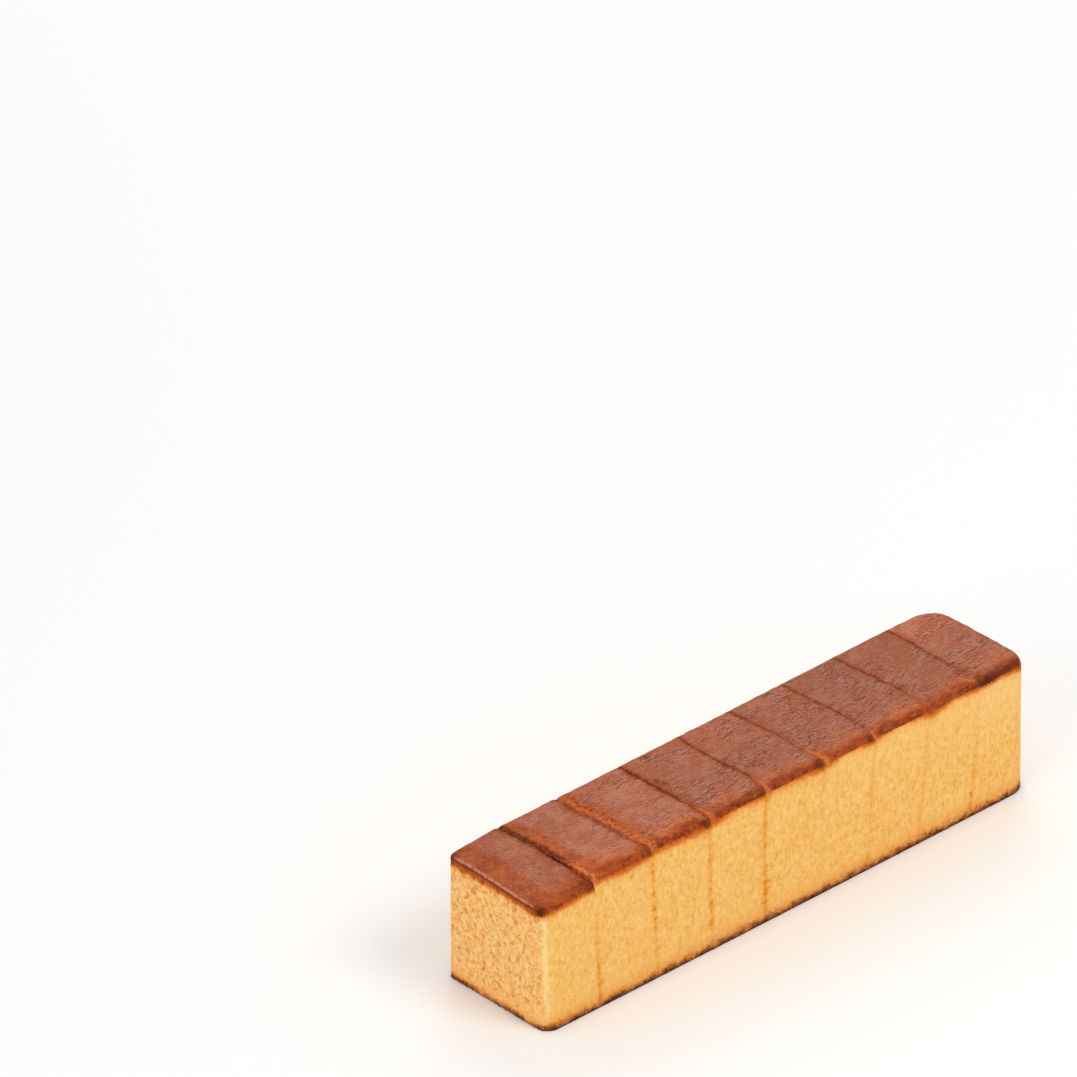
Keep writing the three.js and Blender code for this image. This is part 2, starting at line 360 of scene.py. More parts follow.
def quarter(a, b, radius):
    """Distances a and b from two faces of a sharp edge, moved on to its rounding."""
    u, v = 1 - a / radius, 1 - b / radius
    m = (u > 0) & (v > 0)
    s = np.where(m, np.maximum(u, v) / np.maximum(np.hypot(u, v), 1e-9), 1.0)
    return np.where(m, radius * (1 - u * s), a), np.where(m, radius * (1 - v * s), b)


def form(X, Y, Z, n, L):
    """Round all the edges of the lattice box, except those of the cuts."""
    first, last = n == 0, n == 8
    far = 1e3
    dxn = X if first else np.full(len(X), far)
    dxf = L - X if last else np.full(len(X), far)
    dx = np.minimum(dxn, dxf)
    at_far = (dxf < dxn)
    dy = np.minimum(Y, W - Y)
    at_back = Y > W / 2
    R = np.zeros(len(X))
    for (f, b), r in R_CORNER.items():
        R = np.where((at_far == bool(f)) & (at_back == bool(b)), r, R)
    u, v = 1 - dx / R, 1 - dy / R
    corner = (u > 0) & (v > 0)
    length = np.maximum(np.hypot(u, v), 1e-9)
    toward_end = np.where(corner, np.clip((u / length) ** 2, 0, 1), (dx < dy).astype(float))
    roll = mix(ROLL[n], END_TOP.get(n, 1.0), toward_end)
    d = np.where(corner, R * (1 - np.maximum(u, v)), np.minimum(dx, dy))
    e, g = H - Z, Z
    d1, e1 = quarter(d, e, roll)
    d2, g2 = quarter(d, g, np.full(len(X), R_FOOT))
    upper = Z > H / 2
    dn = np.where(upper, d1, d2)
    Zn = np.where(upper, H - e1, g2)
    rho = 1 - dn / R
    cx = R * (1 - rho * u / length)
    cy = R * (1 - rho * v / length)
    by_end = (~corner) & (dx < dy)
    ndx = np.where(corner, cx, np.where(by_end, dn, dx))
    ndy = np.where(corner, cy, np.where(by_end, dy, dn))
    Xn = np.where(dx < far / 2, np.where(at_far, L - ndx, ndx), X)
    Yn = np.where(at_back, W - ndy, ndy)
    return Xn, Yn, Zn


def vertex_normals(P, quads):
    d1 = P[quads[:, 2]] - P[quads[:, 0]]
    d2 = P[quads[:, 3]] - P[quads[:, 1]]
    fn = np.cross(d1, d2)
    nrm = np.zeros_like(P)
    for c in range(4):
        for a in range(3):
            nrm[:, a] += np.bincount(quads[:, c], fn[:, a], minlength=len(P))
    return nrm / np.maximum(np.linalg.norm(nrm, axis=1, keepdims=True), 1e-9)


INSETS = (0.35, 0.8, 1.5, 2.6, 4.5, 8.0)


def build_slice(n):
    first, last = n == 0, n == 8
    L = 0.5 * (FOOT[n + 1] - FOOT[n] + CUT_TOP[n + 1][0] - CUT_TOP[n][0])
    end_arc = arc(6.0, 12)
    xs = stations(L, end_arc if first else LIP, end_arc if last else LIP, STRIDE)
    ys = stations(W, arc(4.4, 9), arc(4.4, 9), STRIDE)
    ys_under = ys if (first or last) else np.concatenate([ys[:10], np.linspace(4.4, W - 4.4, 34)[1:-1], ys[-10:]])
    zs = stations(H, arc(R_FOOT, 3), arc(4.4, 9), STRIDE)
    nx, ny, nz = len(xs) - 1, len(ys) - 1, len(zs) - 1

    # loop round the section: up the front, over the top, down the back, under
    lY = np.concatenate([np.full(nz, ys[0]), ys[:-1], np.full(nz, ys[-1]), ys_under[:0:-1]])
    lZ = np.concatenate([zs[:-1], np.full(ny, zs[-1]), zs[:0:-1], np.full(len(ys_under) - 1, zs[0])])
    N = len(lY)
    X = np.repeat(xs, N)
    Y = np.tile(lY, nx + 1)
    Z = np.tile(lZ, nx + 1)
    i, k = np.arange(nx)[:, None], np.arange(N)[None, :]
    k2 = (k + 1) % N
    skin = np.stack([(i + 1) * N + k, (i + 1) * N + k2, i * N + k2, i * N + k], -1).reshape(-1, 4)
    shell = [skin]

    def end_grid(base, X0, flip):
        nonlocal X, Y, Z
        jj, kk = np.meshgrid(np.arange(ny + 1), np.arange(nz + 1), indexing="ij")
        ids = np.full((ny + 1, nz + 1), -1)
        ring = base + np.arange(N)
        ids[0, :nz] = ring[:nz]
        ids[:ny, nz] = ring[nz:nz + ny]
        ids[ny, nz:0:-1] = ring[nz + ny:2 * nz + ny]
        ids[ny:0:-1, 0] = ring[2 * nz + ny:]
        inner = ids < 0
        count = int(inner.sum())
        ids[inner] = len(X) + np.arange(count)
        X = np.concatenate([X, np.full(count, X0)])
        Y = np.concatenate([Y, ys[jj[inner]]])
        Z = np.concatenate([Z, zs[kk[inner]]])
        q = np.stack([ids[:-1, :-1], ids[:-1, 1:], ids[1:, 1:], ids[1:, :-1]], -1).reshape(-1, 4)
        shell.append(q if flip else q[:, ::-1])

    if first:
        end_grid(0, 0.0, True)
    if last:
        end_grid(nx * N, L, False)
    shell = np.concatenate(shell)
    ns = len(X)
    X, Y, Z = form(X, Y, Z, n, L)

    # the cut faces: rings inside the outline, closed by a fan
    owner, inset = np.arange(ns), np.zeros(ns)
    caps, fans = [], []
    for at_last, closed in ((False, not first), (True, not last)):
        if not closed:
            continue
        base = (nx * N if at_last else 0) + np.arange(N)
        ring = base
        for g in INSETS:
            new = len(X) + np.arange(N)
            X = np.concatenate([X, X[base]])
            Y = np.concatenate([Y, W / 2 + (Y[base] - W / 2) * (1 - 2 * g / W)])
            Z = np.concatenate([Z, H / 2 + (Z[base] - H / 2) * (1 - 2 * g / H)])
            owner = np.concatenate([owner, base])
            inset = np.concatenate([inset, np.full(N, g)])
            q = np.stack([ring, np.roll(ring, -1), np.roll(new, -1), new], -1)
            caps.append(q[:, ::-1] if at_last else q)
            ring = new
        fans.append((ring, at_last))

    along, across, upw = X / L, Y / W, Z / H
    in_ring = (inset > 0)

    # ---- into place --------------------------------------------------------
    def half_gap(m, side):
        seat = np.stack([np.full(len(X), 31.7 * m + 9.1 * side), across * W, upw * H], -1)
        rag = 1 + 0.9 * N5.fbm(seat / 2.3, 3) + 0.5 * N6.perlin(seat / 0.8)
        at_top = step(0.90, 0.985, upw + inset / H)
        at_side = step(0.05, 0.012, np.minimum(across, 1 - across) - inset / W)
        wide = np.maximum(curve(OPEN[m], across) * at_top, curve(SIDE[m], upw) * at_side * (1 - at_top))
        return 0.5 * (0.006 + wide * np.clip(rag, 0.1, 2.2) * np.exp(-inset / 1.2))

    lo_x = cut_x(n, across, upw) + (0 if first else 1) * half_gap(n, 1)
    hi_x = cut_x(n + 1, across, upw) - (0 if last else 1) * half_gap(n + 1, 0)
    x = mix(lo_x, hi_x, along)
    s = (x + HALF) / (2 * HALF)
    y_front = mix(mix(-27.0, -29.5, s) - 0.6 * s * (1 - s), mix(-24.77, -26.82, s), upw)
    y_back = mix(mix(28.2, 29.5, s), mix(27.5, 28.6, s), upw)
    y = mix(y_front, y_back, across)
    r = RISE[n]
    crown = mix(mix(r[0], r[1], along), mix(r[2], r[3], along), step(0.0, 0.75, across))
    z = H * upw + crown * upw ** 5
    P = np.stack([x, y, z], -1)

    nrm = vertex_normals(P, shell)
    nrm = nrm[owner]
    is_end = np.zeros(len(P))
    if first:
        is_end = np.maximum(is_end, step(0.45, 0.9, -nrm[:, 0]))
    if last:
        is_end = np.maximum(is_end, step(0.45, 0.9, nrm[:, 0]))
    is_end[in_ring] = 0
    is_top = step(0.45, 0.85, nrm[:, 2])
    is_under = step(0.3, 0.75, -nrm[:, 2])
    is_side = np.clip(1 - is_end - is_top - is_under, 0, 1)

    # ---- crust and crumb ---------------------------------------------------
    wob = N1.fbm(P / 3.4, 3)
    wob_fine = N2.fbm(P / 1.1, 2)
    edge = mix(curve(CRUST_EDGE[n], along), 53.6 + 0.02 * x + 0.7 * N4.perlin(P / 9.0), step(0.35, 0.65, across))
    if first or last:
        tongue = 3.6 * np.clip(N3.fbm(P / np.array([9.0, 4.0, 9.0]), 3) + 0.06, 0, 1)
        edge = mix(edge, (50.0 + 1.2 * step(0.08, 0.35, across) if first else 53.2) - tongue, is_end)
    over = z - edge + 0.75 * wob + 0.55 * wob_fine
    over = np.where(over > 0, over * mix(1.0, 0.60 if first else 0.41, is_end), over)
    over = np.where(upw > 0.97, np.maximum(over, 2.2 + 0.8 * wob), over)
    # on the end faces the bottom crust is moved up its ramp, so it is painted lighter than on the long sides: painted
    # light against the shade near the floor
    foot = z - 0.05 + is_end * (0.5 + 1.6 * step(1.5, 4.5, z)) - (2.4 * N4.fbm(P / 4.2, 3) + 1.4 * N3.fbm(P / 1.2, 2)) * step(0.0, 0.6, z) * step(9.0, 3.0, z)
    front = across * (y_back - y_front)

    lips = np.zeros(len(P))
    torn = np.zeros(len(P))
    torn_tone_and_shade = np.zeros(len(P))
    sunk = np.zeros(len(P))
    painted_cut_shade = np.zeros(len(P))
    seam = np.zeros(len(P))
    at_top = step(0.50, 0.85, nrm[:, 2])
    near_front = step(0.13, 0.0, across) * step(0.915, 0.975, upw)
    near_back = step(0.10, 0.02, 1 - across) * step(0.86, 0.93, upw)
    for m, D, side in ((n, X, 1), (n + 1, L - X, 0)):
        if (side == 1 and first) or (side == 0 and last):
            continue
        seat = np.stack([np.full(len(P), 13.3 * m + 4.7 * side), y, z], -1)
        rag = 1 + 0.9 * N3.fbm(seat / 2.6, 2) + 0.5 * N7.perlin(seat / 0.9)
        plain = np.clip(curve(LINE[m], across), 0, 1.4)
        on_top = LIPS[m][side] * at_top * plain
        corner = LIPS[m][2 + side] * near_front + 0.2 * LIPS[m][side] * near_back
        rad = np.maximum(np.maximum(on_top * np.clip(rag, 0.45, 1.7), corner * np.clip(rag, 0.75, 1.3)), 0.012)
        inside = np.clip(1 - D / rad, 0, 1)
        lips = np.maximum(lips, rad * (1 - np.sqrt(np.maximum(1 - inside ** 2, 0))))
        dots = np.clip(1.0 + 1.6 * N6.fbm(np.stack([np.full(len(P), 3.9 * m), y / 1.9, z / 9.0], -1), 2), 0.4, 1.6)
        # painted shade beside each cut on the top
        painted_cut_shade = np.maximum(painted_cut_shade, plain * dots * np.exp(-(D / (LIP_WIDTH[m][side] * np.clip(rag, 0.5, 1.4))) ** 2) * at_top)
        if side == 0:
            painted_cut_shade = np.maximum(painted_cut_shade, 0.7 * step(0.09, 0.02, across) * step(3.0, 0.4, D) * step(1.2, 2.4, over) * (LIPS[m][2] > 0.6))
        wide = 1.12 if m != 4 else 1.50
        drift = np.clip(0.9 + 2.0 * N8.fbm(np.stack([np.full(len(P), 7.7 * m), y / 2, z / 2.6], -1), 3), 0.25, 1.5 if m != 4 else 1.8)
        breadth = wide * np.clip(1 + 1.6 * N5.fbm(np.stack([np.full(len(P), 3.1 * m + 5 * side), y / 2, z / 1.3], -1), 2), 0.35, 1.7)
        seam = np.maximum(seam, curve(SEAM[m], upw) * drift * np.exp(-(D / breadth) ** 2) * (1 - at_top) * step(1.6, -0.6, over))
        if side == 1 and m in TORN:
            w = np.interp(across, TORN_AT, TORN[m][0]) * np.clip(1 + 0.6 * N5.fbm(seat / 2.2, 3), 0.5, 1.6)
            d = np.interp(across, TORN_AT, TORN[m][1])
            up_here = step(0.925, 0.975, upw + inset / H) * (step(0.2, 0.8, w) if m < 3 else step(0.6, 1.6, w))
            soft = 1.0 if m < 3 else 1.6
            torn = step(soft, -0.9 * soft, D - w + 0.8 * wob_fine) * up_here
            u = np.clip(D / np.maximum(w, 0.2), 0, 1)
            sunk = d * (1 - u) ** 0.9 * up_here * step(0.15, 0.6, nrm[:, 2])
            # the torn strip's lightness: its own streaks, with painted shade at the dark end
            f_, b_ = (np.interp(u, np.linspace(0, 1, 6), q) for q in SHADES[m])
            streak = N4.fbm(np.stack([np.full(len(P), 9.7 * m), y / 0.95, D / 0.75], -1), 3)
            torn_tone_and_shade = np.clip(mix(f_, b_, step(0.16, 0.42, across)) + (0.50 if m < 3 else 0.25) * streak, 0, 1)

    # ---- relief ------------------------------------------------------------
    crust = step(0.2, 1.6, over) * (1 - torn)
    crumb = (1 - crust) * (1 - torn)

    # long sides: small soft pores, upright, over a fine even crumb
    f1, f2, who = N3.cells(P * np.array([1 / 1.5, 1 / 1.5, 1 / 1.9]))
    size = 0.14 + 0.36 * np.mod(who * 7.3, 1.0)
    pit = step(1.0, 0.25, f1 / size) * step(0.35, 0.6, who)
    g1, g2, gwho = N8.cells(P / 0.95)
    web = step(0.0, 0.5, g2 - g1)
    side_h = -0.12 * pit - 0.05 * (1 - web) + 0.20 * N5.fbm(P / 1.4, 3) + 0.10 * N6.perlin(P / 8.0)
    # the two end faces are torn coarser
    bent = P / 1.35 + 0.45 * N2.perlin(P / 1.3)[:, None]
    e1, e2, ewho = N4.cells(bent)
    worm = step(0.02, 0.42, e2 - e1)
    pit_end = step(0.70, 0.15, e1) * step(0.40, 0.62, ewho)
    rough = N6.fbm(P / np.array([1.7, 2.0, 1.5]), 4, 0.62)
    end_h = (-0.18 * pit_end + 0.56 * rough + 0.22 * worm + 0.22 * N6.perlin(P / 9.0)) * (0.4 if last else 1.0)
    h = crumb * (is_side * side_h + is_end * end_h)
    edging = np.clip(4 * is_end * (1 - is_end), 0, 1) * step(0.3, 0.0, np.abs(nrm[:, 2]))
    h *= 1 - 0.75 * edging

    # wrinkles and grain in the crust
    ang = math.radians(4)
    qa = x * math.cos(ang) + y * math.sin(ang)
    qb = -x * math.sin(ang) + y * math.cos(ang)
    warp = N1.fbm(P / 5.5, 2)
    flat = np.zeros(len(P))
    Q = np.stack([qa / 5.2 + 0.5 * warp, qb / 1.9 + 1.2 * warp, z / 6], -1)
    crease = np.clip(1 - np.abs(N2.fbm(Q, 2, 0.45)) * 6.0, 0, 1)
    gate = step(0.0, 0.28, N4.fbm(np.stack([qa / 4.2, qb / 2.6, z / 6], -1) + 3.3, 2))
    area_ = step(-0.35, 0.25, N4.perlin(P / 14.0) + 0.35 * (0.45 - across))
    amount = WRINKLED[n] * mix(0.25, 1.0, area_)
    wr = crease ** 1.4 * gate * amount
    for xa, xb, yc, sag, power in CREASES:
        half = 0.5 * (xb - xa)
        u = (x - 0.5 * (xa + xb)) / half
        yy = yc + sag * (1 - u ** 2) + 0.25 * N7.perlin(np.stack([x / 1.3, flat + yc, flat], -1))
        wr = np.maximum(wr, 0.95 * power * step(1.05, 0.6, np.abs(u)) * np.exp(-((y - yy) / 0.36) ** 2) * (np.abs(y - yy) < 3))
    wr = wr * is_top * crust
    fold = N2.fbm(np.stack([qa / 2.9 + warp, qb / 1.15 + 1.5 * warp, z / 3.0], -1) + 9.1, 2, 0.5)
    c1, c2, cwho = N7.cells(np.stack([qa / 1.7, qb / 1.0, z / 1.2], -1))
    cobble = step(0.0, 0.45, c2 - c1)
    p1, p2, pwho = N8.cells(P / 2.6)
    pock = step(0.26, 0.12, p1) * step(0.60, 0.62, pwho) * is_top * crust * (1 - 0.6 * WRINKLED[n])
    top_h = (-0.42 * wr + (0.10 + 0.26 * amount) * fold + (0.03 + 0.07 * amount) * cobble - 0.22 * pock
             + (0.24 * N1.perlin(P / 11.0) + 0.15 * N6.perlin(P / 4.0)) * mix(1.0, 0.35, step(0.88, 0.96, across)))
    h += crust * (is_top * top_h + (1 - is_top) * 0.30 * N5.fbm(P / 1.6, 3))
    h += torn * (0.50 * N5.fbm(P / 1.1, 3) + 0.10)
    h += (1 - is_under) * step(2.6, 1.2, foot) * 0.34 * N2.fbm(P / 1.2, 2)
    mark = np.zeros(len(P))
    if not in_ring.all():
        for mx, mz, rx, rz, power in MARKS:
            e = ((x - mx) / rx) ** 2 + ((z - mz) / rz) ** 2 + 0.5 * wob_fine
            mark = np.maximum(mark, power * np.exp(-np.clip(e, 0, 20)) * (across < 0.02))
    h -= 0.10 * mark
    h -= lips + sunk
    h = mix(h, -0.04 * np.abs(N5.fbm(P / 2.4, 3)), is_under)
    h[in_ring] = 0
    h = np.where(in_ring, h[owner] * np.clip(1 - inset / 8.0, 0, 1), h)
    P = P + nrm * h[:, None]
    P[:, 2] = np.maximum(P[:, 2], 0.0)

    # ---- mesh --------------------------------------------------------------
    quads = np.concatenate([shell] + caps)
    tri_list, centres = [], []
    for ring, at_last in fans:
        c = len(P) + len(centres)
        centres.append(P[ring].mean(0))
        t = np.stack([ring, np.roll(ring, -1), np.full(len(ring), c)], -1)
        tri_list.append(t[:, ::-1] if at_last else t)
    nshape = len(P)
    P = np.concatenate([P] + [np.array([c]) for c in centres])
    tri = np.concatenate(tri_list)

    me = bpy.data.meshes.new("castella_%02d" % (n + 1))
    nq, nt = len(quads), len(tri)
    me.vertices.add(len(P))
    me.vertices.foreach_set("co", (P * MM).astype(np.float32).ravel())
    me.loops.add(nq * 4 + nt * 3)
    me.loops.foreach_set("vertex_index", np.concatenate([quads.ravel(), tri.ravel()]).astype(np.int32))
    me.polygons.add(nq + nt)
    me.polygons.foreach_set("loop_start", np.concatenate([np.arange(nq) * 4, nq * 4 + np.arange(nt) * 3]).astype(np.int32))
    smooth = np.zeros(nq + nt, bool)
    smooth[:len(shell)] = True
    me.polygons.foreach_set("use_smooth", smooth)
    me.update(calc_edges=True)
    me.validate()

    def attr(name, values):
        a = me.attributes.new(name, "FLOAT", "POINT")
        v = np.zeros(len(P), np.float32)
        v[:nshape] = values
        a.data.foreach_set("value", v)

    P0 = P[:nshape]
    blot = N6.fbm(P0 / 6.0, 3)
    wide, power = BORDER[n]
    rim = power * step(wide + 1.5, wide - 1.5, X + 3.5 * blot)
    rim = np.maximum(rim, 0.45 * step(3.0, 0.3, L - X + 2.0 * blot))
    rim = np.maximum(rim, (0.75 if n in (3, 4) else 0.5) * step(6.5 if n in (3, 4) else 4.5, 1.5, (1 - across) * W + 5.0 * blot))
    if n < 2:
        rim = np.maximum(rim, (0.75, 0.5)[n] * step((-7.0, -14.0)[n], (-17.0, -20.0)[n], y + 5.0 * blot))
    if last:
        rim = np.maximum(rim, 0.5 * step(4.5, 1.5, L - X + 3.0 * blot))
    tone_and_sheen = 0.5 + PINK_SHEEN[n] + 1.1 * N1.fbm(P0 / np.array([8.0, 6.5, 8.0]) + 4.4, 3) + 0.60 * N2.fbm(P0 / 2.4, 2)
    spot = np.zeros(nshape)
    for sx, sy, rx, ry, power in SPOTS:
        e = ((x - sx) / rx) ** 2 + ((y - sy) / ry) ** 2 + 1.2 * wob + 0.6 * wob_fine
        spot = np.maximum(spot, power * np.exp(-np.clip(e, 0, 20)) * (over > 0.3))
    level = mix(mix(FRONT_LEVEL[n], LEVEL[n][0], step(2.0, 9.0, front)), LEVEL[n][1], step(0.45, 0.95, across))
    level = level * (1 + 0.05 * N3.perlin(P0 / 12.0))
    # painted highlight along the rounded top edge of the near end
    edge_highlight = np.zeros(nshape)
    if first:
        nz = nrm[:, 2]
        edge_highlight = step(0.36, 0.60, nz) * step(0.97, 0.78, nz) * (X < 3) * np.clip(0.75 + 1.6 * N5.fbm(P0 / 1.6, 2), 0, 1)
        edge_highlight = edge_highlight * step(0.06, 0.16, across) * step(0.97, 0.90, across)
    # painted highlight down the rounded upright corners of the end faces
    painted_corner_light = 4 * is_end * (1 - is_end) * crumb * (across < 0.5)
    q = np.stack([P0[:, 0] / 6.0, np.zeros(nshape) + 3.3 * n, P0[:, 2] * 0 + P0[:, 1] / 2.0], -1)
    burn = step(-0.06, 0.24, N3.fbm(q, 3) + 0.45 * N5.perlin(P0 / 1.3)) * step(0.6, 1.5, over) * step(3.6, 1.3, front + 1.2 * wob) * (1 - is_end)
    if first:
        line = 1.9 * np.exp(-((nz - 0.28) / np.where(nz > 0.28, 0.16, 0.26)) ** 2) * (X < 4) * step(-0.1, 0.4, over) * np.clip(0.85 + 1.6 * N5.fbm(P0 / 1.7, 3), 0.1, 1.3)
        burn = np.maximum(burn, line)
    speck_on = (0.35, 0.4, 0.6, 0.6, 0.65, 0.8, 0.8, 0.75, 0.7)[n]
    s1, s2, swho = N6.cells(P0 * np.array([1 / 1.9, 1 / 1.9, 1 / 3.0]))
    speck = step(0.46, 0.20, s1 + 0.20 * wob_fine) * step(0.32, 0.50, swho) * crumb * is_side * speck_on

    pale = (0.0, 0.0, 0.0, 0.0, 0.0, 0.35, 0.35, 0.40, 0.80)[n] * step(22.0, 48.0, z) * crumb * is_side
    attr("over", np.clip((over + 4) / 8, 0, 1))
    attr("pale", pale)
    attr("foot", np.clip(foot / 12, 0, 1))
    attr("front", np.clip(front / 16, 0, 1))
    # pores painted darker: painted shade in them
    attr("pore_shade", np.clip(pit * is_side + pit_end * is_end, 0, 1) * crumb)
    attr("endface", is_end)
    attr("topface", is_top * (1 - in_ring))
    attr("leather", amount * is_top * crust)
    # darkens the creases and pits: painted shade in them, over their real depth
    attr("wrinkle_shade", np.clip(wr + 0.8 * pock, 0, 1))
    attr("torn", torn)
    attr("torn_tone_and_shade", torn_tone_and_shade)
    attr("rim", np.clip(rim, 0, 1))
    attr("tone_and_sheen", np.clip(tone_and_sheen, 0, 1))
    attr("level", np.clip(level - 0.5, 0, 1))
    attr("spot", np.clip(spot, 0, 1))
    attr("cut_shade", np.clip(painted_cut_shade, 0, 1))
    attr("seam", np.clip(seam, 0, 1))
    attr("edge_highlight", np.clip(edge_highlight, 0, 1))
    attr("corner_highlight", np.clip(painted_corner_light, 0, 1))
    attr("burn", np.clip(burn, 0, 1))
    attr("speck", np.clip(speck, 0, 1))
    attr("mark", np.clip(mark, 0, 1))
    # the relief's height, held low on the cut faces inside the gaps; the torn strips are painted darker where it is
    # low: painted shade in hollows and in the gaps
    attr("relief_shade", np.clip(0.5 + 1.2 * np.where(in_ring, -0.3, h + lips + sunk), 0, 1))

    ob = bpy.data.objects.new("castella_%02d" % (n + 1), me)
    bpy.context.scene.collection.objects.link(ob)
    return ob


# ---------------------------------------------------------------------------
# material
# ---------------------------------------------------------------------------
def lin(r, g, b):
    f = lambda c: c / 12.92 if c <= 0.04045 else ((c + 0.055) / 1.055) ** 2.4
    return (f(r / 255), f(g / 255), f(b / 255), 1.0)


def sponge_material():
    m = bpy.data.materials.new("castella_sponge")
    m.use_nodes = True
    t = m.node_tree
    t.nodes.clear()
    out = t.nodes.new("ShaderNodeOutputMaterial")
    bsdf = t.nodes.new("ShaderNodeBsdfPrincipled")
    t.links.new(bsdf.outputs[0], out.inputs[0])

    def attr(name):
        a = t.nodes.new("ShaderNodeAttribute")
        a.attribute_name = name
        return a.outputs["Fac"]

    def math_(op, a, b=None, clamp=False):
        n = t.nodes.new("ShaderNodeMath")
        n.operation = op
        n.use_clamp = clamp
        for i, v in enumerate((a, b)):
            if v is None:
                continue
            if isinstance(v, (int, float)):
                n.inputs[i].default_value = v
            else:
                t.links.new(v, n.inputs[i])
        return n.outputs[0]

    def add(a, b, clamp=False):
        return math_("ADD", a, b, clamp)

    def mul(a, b, clamp=False):
        return math_("MULTIPLY", a, b, clamp)

    def sub(a, b, clamp=False):
        return math_("SUBTRACT", a, b, clamp)

    def mixc(fac, a, b, mode="MIX"):
        n = t.nodes.new("ShaderNodeMix")
        n.data_type = "RGBA"
        n.blend_type = mode
        n.clamp_result = False
        for sock, v in ((n.inputs[0], fac), (n.inputs[6], a), (n.inputs[7], b)):
            if isinstance(v, (int, float, tuple)):
                sock.default_value = v
            else:
                t.links.new(v, sock)
        return n.outputs[2]

    def ramp(fac, stops):
        n = t.nodes.new("ShaderNodeValToRGB")
        t.links.new(fac, n.inputs[0])
        el = n.color_ramp.elements
        while len(el) > 1:
            el.remove(el[-1])
        el[0].position, el[0].color = stops[0]
        for p, c in stops[1:]:
            e = el.new(p)
            e.color = c
        return n.outputs[0]

    coord = t.nodes.new("ShaderNodeTexCoord").outputs["Object"]

    def mapped(vector, turn=0.0, scale=(1.0, 1.0, 1.0)):
        n = t.nodes.new("ShaderNodeMapping")
        n.inputs["Rotation"].default_value = (0.0, 0.0, turn)
        n.inputs["Scale"].default_value = scale
        t.links.new(vector, n.inputs["Vector"])
        return n.outputs[0]

    def noise(scale, detail=3.0, rough=0.55, vector=None, distortion=0.0):
        n = t.nodes.new("ShaderNodeTexNoise")
        n.inputs["Scale"].default_value = scale
        n.inputs["Detail"].default_value = detail
        n.inputs["Roughness"].default_value = rough
        n.inputs["Distortion"].default_value = distortion
        t.links.new(coord if vector is None else vector, n.inputs["Vector"])
        return n.outputs["Fac"]

    def over_(v, low, gain):
        """0 below `low`, rising at `gain`, held at 1."""
        return math_("MULTIPLY", math_("SUBTRACT", v, low, True), gain, True)

    def under_(v, high, gain):
        return math_("MULTIPLY", math_("SUBTRACT", high, v, True), gain, True)

    def warped(vector, scale, amount):
        """The vector moved about by a noise of this scale, by up to about `amount` metres."""
        n = t.nodes.new("ShaderNodeTexNoise")
        n.inputs["Scale"].default_value = scale
        n.inputs["Detail"].default_value = 2.0
        t.links.new(vector, n.inputs["Vector"])
        c = t.nodes.new("ShaderNodeVectorMath")
        c.operation = "SUBTRACT"
        t.links.new(n.outputs["Color"], c.inputs[0])
        c.inputs[1].default_value = (0.5, 0.5, 0.5)
        d = t.nodes.new("ShaderNodeVectorMath")
        d.operation = "SCALE"
        t.links.new(c.outputs[0], d.inputs[0])
        d.inputs["Scale"].default_value = amount * 2
        e = t.nodes.new("ShaderNodeVectorMath")
        e.operation = "ADD"
        t.links.new(vector, e.inputs[0])
        t.links.new(d.outputs[0], e.inputs[1])
        return e.outputs[0]

    def moved(vector, offset):
        n = t.nodes.new("ShaderNodeVectorMath")
        n.operation = "ADD"
        t.links.new(vector, n.inputs[0])
        n.inputs[1].default_value = offset
        return n.outputs[0]

    def scales(scale, vector, randomness=1.0):
        n = t.nodes.new("ShaderNodeTexVoronoi")
        n.feature = "F1"
        n.inputs["Scale"].default_value = scale
        n.inputs["Randomness"].default_value = randomness
        t.links.new(vector, n.inputs["Vector"])
        return n.outputs["Distance"]

    def crackle(scale, vector):
        n = t.nodes.new("ShaderNodeTexVoronoi")
        n.feature = "DISTANCE_TO_EDGE"
        n.inputs["Scale"].default_value = scale
        t.links.new(vector, n.inputs["Vector"])
        return n.outputs["Distance"]

    over, foot, pore_shade, front = attr("over"), attr("foot"), attr("pore_shade"), attr("front")
    endface, topface, wrinkle_shade = attr("endface"), attr("topface"), attr("wrinkle_shade")
    torn, torn_tone_and_shade, rim, relief_shade = attr("torn"), attr("torn_tone_and_shade"), attr("rim"), attr("relief_shade")
    cut_shade, seam, tone_and_sheen, level = attr("cut_shade"), attr("seam"), attr("tone_and_sheen"), attr("level")
    leather, spot, edge_highlight, corner_highlight = attr("leather"), attr("spot"), attr("edge_highlight"), attr("corner_highlight")
    burn, speck, mark, pale = attr("burn"), attr("speck"), attr("mark"), attr("pale")

    n_fine = noise(1500, 3)
    n_mid = noise(480, 3)
    n_patch = noise(170, 3)
    along = mapped(mapped(coord, turn=-math.radians(5)), scale=(0.42, 1.0, 1.0))
    n_gate = noise(230, 3, 0.55, along)
    # the grain of the crust as painted shade: each small bump is painted dark on its far side and light on its near
    # side
    g_at = warped(along, 800, 0.0005)
    g_near = noise(820, 3, 0.62, moved(g_at, (0.0, -0.00022, 0.0)))
    g_far = noise(820, 3, 0.62, moved(g_at, (0.0, 0.00022, 0.0)))
    painted_bump_shade = sub(g_far, g_near)
    # short arched creases: overlapping scales, painted dark along their far edge as shade, with a painted highlight
    # beside it
    s_at = warped(along, 420, 0.0013)
    s_here = scales(560, s_at)
    scale_emboss = mul(sub(scales(560, moved(s_at, (0.0, 0.00018, 0.0))), s_here), s_here)
